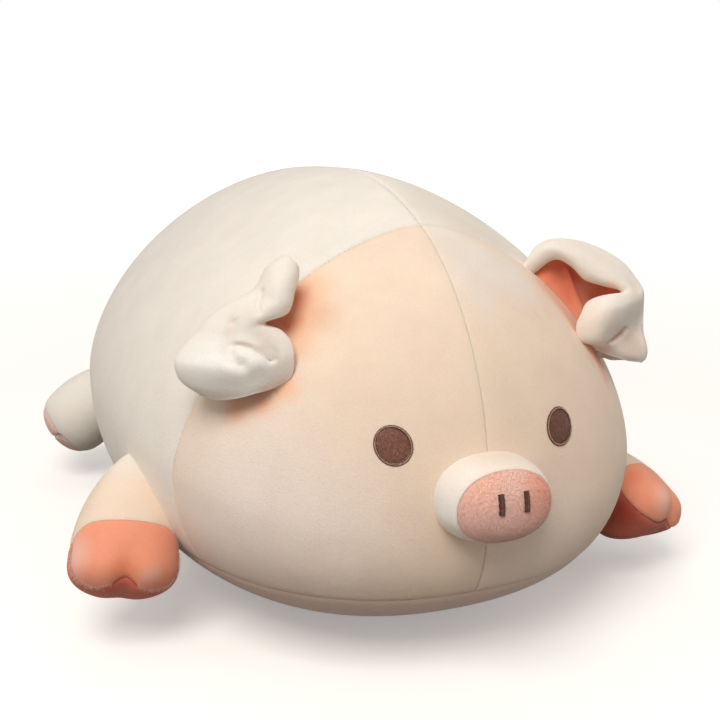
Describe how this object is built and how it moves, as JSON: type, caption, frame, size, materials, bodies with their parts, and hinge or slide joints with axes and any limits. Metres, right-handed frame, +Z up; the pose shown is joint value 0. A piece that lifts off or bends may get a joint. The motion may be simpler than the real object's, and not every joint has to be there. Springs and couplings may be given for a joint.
{
  "type": "plush pig",
  "caption": "Stuffed plush pig lying on its belly: plump round body sewn from panels, padded snout, floppy ears, stubby legs with two-panel hoofs, and a curled tail.",
  "frame": {"origin": "middle of the flat patch of the belly that the toy rests on", "axes": "+Z up, the snout points along -Y, the pig's own left is +X"},
  "size_m": [0.3801, 0.5152, 0.2513],
  "materials": {
    "white_plush": "short-pile warm white plush",
    "peach_plush": "short-pile pale peach plush",
    "belly_plush": "short-pile pinkish plush",
    "cream_plush": "short-pile cream plush",
    "coral_plush": "short-pile coral plush",
    "pink_plush": "short-pile dusty pink plush",
    "brown_thread": "satin embroidery thread",
    "stuffing": "loose white fibre filling"
  },
  "bodies": {
    "torso": {"body_stuffing": "stuffing", "face_panel_left": "peach_plush", "face_panel_right": "peach_plush", "back_panel_left": "white_plush", "back_panel_right": "white_plush", "belly_panel": "belly_plush", "snout_band": "cream_plush", "snout_front": "pink_plush", "snout_stuffing": "stuffing", "nostril_left": "brown_thread", "nostril_right": "brown_thread", "eye_fill_left": "brown_thread", "eye_fill_right": "brown_thread", "eye_ring_left": "brown_thread", "eye_ring_right": "brown_thread"},
    "ear_left": {"ear_back_left": "cream_plush", "ear_lining_left": "coral_plush", "ear_wadding_left": "stuffing"},
    "ear_right": {"ear_back_right": "cream_plush", "ear_lining_right": "coral_plush", "ear_wadding_right": "stuffing"},
    "front_leg_left": {"front_leg_left_sleeve": "peach_plush", "front_leg_left_hoof_top": "coral_plush", "front_leg_left_hoof_sole": "coral_plush", "front_leg_left_stuffing": "stuffing"},
    "front_leg_right": {"front_leg_right_sleeve": "peach_plush", "front_leg_right_hoof_top": "coral_plush", "front_leg_right_hoof_sole": "coral_plush", "front_leg_right_stuffing": "stuffing"},
    "hind_leg_left": {"hind_leg_left_sleeve": "white_plush", "hind_leg_left_hoof_top": "pink_plush", "hind_leg_left_hoof_sole": "pink_plush", "hind_leg_left_stuffing": "stuffing"},
    "hind_leg_right": {"hind_leg_right_sleeve": "white_plush", "hind_leg_right_hoof_top": "pink_plush", "hind_leg_right_hoof_sole": "pink_plush", "hind_leg_right_stuffing": "stuffing"},
    "tail": {"tail": "coral_plush"}
  },
  "joints": [
    {"name": "ear_left_flop", "type": "hinge", "parent": "torso", "child": "ear_left", "pos_m": [0.09384, -0.14253, 0.17963], "axis": [0.5784, -0.2994, -0.7588], "range_deg": [-20, 20], "stiffness_Nm_per_rad": 0.01},
    {"name": "ear_right_flop", "type": "hinge", "parent": "torso", "child": "ear_right", "pos_m": [-0.09384, -0.14253, 0.17963], "axis": [0.5784, 0.2994, 0.7588], "range_deg": [-20, 20], "stiffness_Nm_per_rad": 0.01},
    {"name": "front_leg_left_lift", "type": "hinge", "parent": "torso", "child": "front_leg_left", "pos_m": [0.1496, -0.1004, 0.05887], "axis": [0.3237, -0.3978, 0.8585], "range_deg": [0, 50], "stiffness_Nm_per_rad": 0.02},
    {"name": "front_leg_right_lift", "type": "hinge", "parent": "torso", "child": "front_leg_right", "pos_m": [-0.15758, -0.09589, 0.07936], "axis": [-0.0205, 0.7859, -0.6179], "range_deg": [0, 50], "stiffness_Nm_per_rad": 0.02},
    {"name": "hind_leg_left_lift", "type": "hinge", "parent": "torso", "child": "hind_leg_left", "pos_m": [0.12086, 0.15472, 0.0754], "axis": [0.624, -0.3889, 0.6778], "range_deg": [0, 50], "stiffness_Nm_per_rad": 0.02},
    {"name": "hind_leg_right_lift", "type": "hinge", "parent": "torso", "child": "hind_leg_right", "pos_m": [-0.12086, 0.15472, 0.0754], "axis": [0.624, 0.3889, -0.6778], "range_deg": [0, 50], "stiffness_Nm_per_rad": 0.02},
    {"name": "tail_wag", "type": "hinge", "parent": "torso", "child": "tail", "pos_m": [0, 0.22695, 0.15006], "axis": [1, 0, 0], "range_deg": [-25, 25], "stiffness_Nm_per_rad": 0.002}
  ]
}
